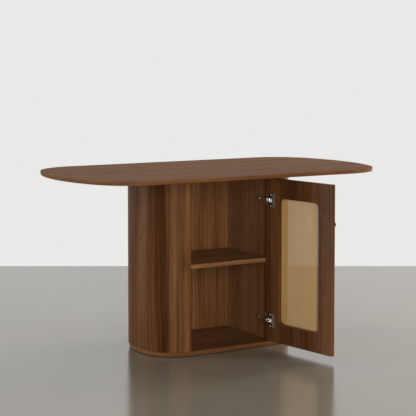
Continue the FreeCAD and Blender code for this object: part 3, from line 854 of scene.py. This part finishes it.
# -------------------------------------------------------------------- the surround
def make_floor():
    """A plain floor that ends behind the table, where the pale surround begins."""
    material, tree, shader = new_material("floor_finish")
    place = add_node(tree, "ShaderNodeTexCoord").outputs["Object"]
    cloud = noise(tree, place, scale=1.5)
    colour = ramp(tree, cloud, ((0.3, (0.222, 0.200, 0.156)), (0.7, (0.240, 0.218, 0.172))))
    tree.links.new(colour, shader.inputs["Base Color"])
    tree.links.new(maths(tree, "MULTIPLY_ADD", cloud, 0.04, 0.16), shader.inputs["Roughness"])
    shader.inputs["IOR"].default_value = FLOOR_SHINE
    bm = bmesh.new()
    corners = [(-FLOOR_REACH, -FLOOR_REACH), (FLOOR_REACH, -FLOOR_REACH),
               (FLOOR_REACH, FLOOR_BEHIND), (-FLOOR_REACH, FLOOR_BEHIND)]
    bm.faces.new([bm.verts.new((x, y, 0.0)) for x, y in corners])
    bm.transform(Matrix.Rotation(-math.radians(CAMERA_YAW), 4, "Z"))
    floor = link_mesh(bm, "floor")
    floor.data.materials.append(material)
    return floor


def make_surround():
    """Soft light from all round, and a paler field where the camera looks past the floor."""
    world = bpy.data.worlds.new("surround")
    bpy.context.scene.world = world
    world.use_nodes = True
    tree = world.node_tree
    tree.nodes.clear()
    soft = add_node(tree, "ShaderNodeBackground", {"Color": SOFT_COLOUR, "Strength": SOFT_STRENGTH})
    seen = add_node(tree, "ShaderNodeBackground", {"Color": WALL_COLOUR, "Strength": 1.0})
    rays = add_node(tree, "ShaderNodeLightPath")
    direct = maths(tree, "MAXIMUM", rays.outputs["Is Camera Ray"], rays.outputs["Is Glossy Ray"])
    direct = maths(tree, "MAXIMUM", direct, rays.outputs["Is Transmission Ray"])
    mix = add_node(tree, "ShaderNodeMixShader", {0: direct, 1: soft.outputs[0], 2: seen.outputs[0]})
    output = add_node(tree, "ShaderNodeOutputWorld")
    tree.links.new(mix.outputs[0], output.inputs["Surface"])


def make_lamp(name, place, target, width, height, watts):
    """A soft area lamp aimed at a place."""
    data = bpy.data.lights.new(name, "AREA")
    data.shape = "RECTANGLE"
    data.size = width
    data.size_y = height
    data.energy = watts
    lamp = bpy.data.objects.new(name, data)
    lamp.location = place
    lamp.rotation_mode = "QUATERNION"
    lamp.rotation_quaternion = (Vector(target) - Vector(place)).to_track_quat("-Z", "Y")
    bpy.context.scene.collection.objects.link(lamp)
    return lamp


def lamp_receivers(name, piece, state):
    """A set that ties a lamp to one piece, or to all pieces except that one."""
    receivers = bpy.data.collections.new(name)
    receivers.objects.link(piece)
    receivers.collection_objects[0].light_linking.link_state = state
    return receivers


def make_lamps(floor):
    """Upright soft boxes all round the table and one flat above it.

    Bearings are in degrees, from the front towards the right. Lamps that aren't mirrored don't show
    in reflections. The front lamp shows in the pieces but not in the floor, where it would leave a
    glare, so the floor has a twin of it.
    """
    all_but_floor = lamp_receivers("all_but_floor", floor, "EXCLUDE")
    only_floor = lamp_receivers("only_floor", floor, "INCLUDE")
    for name, bearing, width, watts, mirrored, receivers in (
        ("front_lamp", -20.0, 1.1, 98.0, True, all_but_floor),
        ("front_lamp_for_floor", -20.0, 1.1, 98.0, False, only_floor),
        ("front_right_lamp", 40.0, 0.8, 56.0, False, None),
        ("right_lamp", 87.0, 1.1, 170.0, False, None),
        ("back_right_lamp", 112.0, 0.8, 24.0, True, None),
        ("back_lamp", 180.0, 0.8, 20.0, False, None),
        ("back_left_lamp", -120.0, 0.8, 76.0, True, None),
    ):
        turn = math.radians(bearing)
        place = (LAMP_DISTANCE * math.sin(turn), -LAMP_DISTANCE * math.cos(turn), LAMP_HEIGHT)
        lamp = make_lamp(name, place, (0.0, 0.0, 1.0), width, LAMP_TALL, watts)
        lamp.visible_glossy = mirrored
        lamp.light_linking.receiver_collection = receivers
    make_lamp("overhead_lamp", (0.0, 0.3, 3.6), (0.0, 0.0, 0.5), 3.0, 2.4, 30.0)


def make_camera():
    """The camera, at the picture's viewing angle."""
    data = bpy.data.cameras.new("camera")
    data.lens = CAMERA_LENS
    data.sensor_width = CAMERA_SENSOR
    data.shift_y = CAMERA_SHIFT
    data.clip_end = 100.0
    camera = bpy.data.objects.new("camera", data)
    camera.location = CAMERA_PLACE
    camera.rotation_euler = (math.radians(90 - CAMERA_PITCH), 0.0, -math.radians(CAMERA_YAW))
    bpy.context.scene.collection.objects.link(camera)
    bpy.context.scene.camera = camera
    bpy.context.scene.view_settings.view_transform = "Standard"


# ------------------------------------------------------------------------ assembly
def dress_cad_node(name, material):
    """Gives a CAD node that is shown as it is its finish."""
    node = frame["nodes"][name]
    node.data.materials.clear()
    node.data.materials.append(material)


make_camera()
make_surround()
make_lamps(make_floor())

top_wood = walnut("top_walnut", 1.0, leaf=0.26, heart=0.45, slope=0.05, tone=0.07,
                  roughness=0.6, gloss=0.07)
# The pedestal's bands: at -0.163 painted shade, where the shell's curve turns away from the lamps; at
# -0.207 a painted highlight, an upright glint where the curve meets the flat front; at -0.264 an
# orange streak of the grain.
pedestal_wood = walnut("pedestal_walnut", 2.0, heart=0.70, offset=0.24, slope=-0.31,
                       ring_gap=0.0085, arch=0.0011,
                       knots=((-0.252, 0.39, 0.022, 0.070, 0.026, 0.18),),
                       grain_and_light_bands=((-0.163, 0.030, -0.24), (-0.207, 0.010, 0.22), (-0.264, 0.006, 0.08)),
                       crown=(0.30, 0.57, 0.13), tone=0.005, figure=0.55, roughness=0.42, gloss=0.055)
# The back, the inside boards and the shelf are lighter copies of the walnut: painted light, standing
# in for the light that falls into the cabinet.
back_wood = walnut("back_walnut", 4.0, offset=0.12, heart=0.86, tone=0.16, figure=0.6, gloss=0.06)
inside_wood = walnut("inside_walnut", 5.0, tone=0.38, gloss=0.05)
shelf_wood = walnut("shelf_walnut", 7.0, leaf=0.26, slope=0.05, tone=0.34, gloss=0.06)
door_wood = walnut("door_walnut", 6.0, figure=0.8)
base_wood = walnut("base_walnut", 8.0, leaf=0.26, slope=0.05, tone=0.14, gloss=0.06)
knob_wood = walnut("knob_walnut", 9.0)
nickel = metal("nickel", NICKEL, 0.24)
hinge_edge = swing @ Vector((door_hinge_x, door_inner_y, 0.0))
door_run = swing.to_3x3() @ Vector((-1.0, 0.0, 0.0))
cup_nickel = metal("cup_nickel", NICKEL, 0.24, (hinge_edge, door_run, FLANGE_WING, 0.50))
zinc = metal("zinc", ZINC, 0.34)
fibreboard = raw_board()
plastic = dark_plastic()

make_tabletop(top_wood)
make_base_plate(base_wood)
for side_name, side in (("left", -1), ("right", 1)):
    make_end_shell(side_name + "_end_shell", side, pedestal_wood)
    make_stile(side_name + "_stile", side, pedestal_wood)
    make_board(side_name + "_side_panel_veneered", side_name + "_side_panel", grain_upright,
               (2.0 + side, 0.0), inside_wood)
    for level in ("lower", "middle", "upper"):
        dress_cad_node(side_name + "_" + level + "_former", fibreboard)
make_back_panel(back_wood)
make_board("cabinet_top_veneered", "cabinet_top", grain_level, (4.4, 0.3), inside_wood)
make_board("shelf_veneered", "shelf", grain_level, (5.3, 0.9), shelf_wood)
make_door_frame(door_wood)
make_spline(door_wood)
make_cane(cane_fibre())
make_knob(knob_wood)
for level in ("lower", "upper"):
    dress_cad_node(level + "_hinge_plate", nickel)
    dress_cad_node(level + "_hinge_arm", nickel)
    dress_cad_node(level + "_hinge_cup", cup_nickel)
for fastener in ("shelf_pins", "base_screws", "tabletop_screws", "hinge_plate_screws",
                 "hinge_arm_screws", "hinge_cup_screws", "hinge_pins", "knob_screw"):
    dress_cad_node(fastener, zinc)
dress_cad_node("floor_glides", plastic)
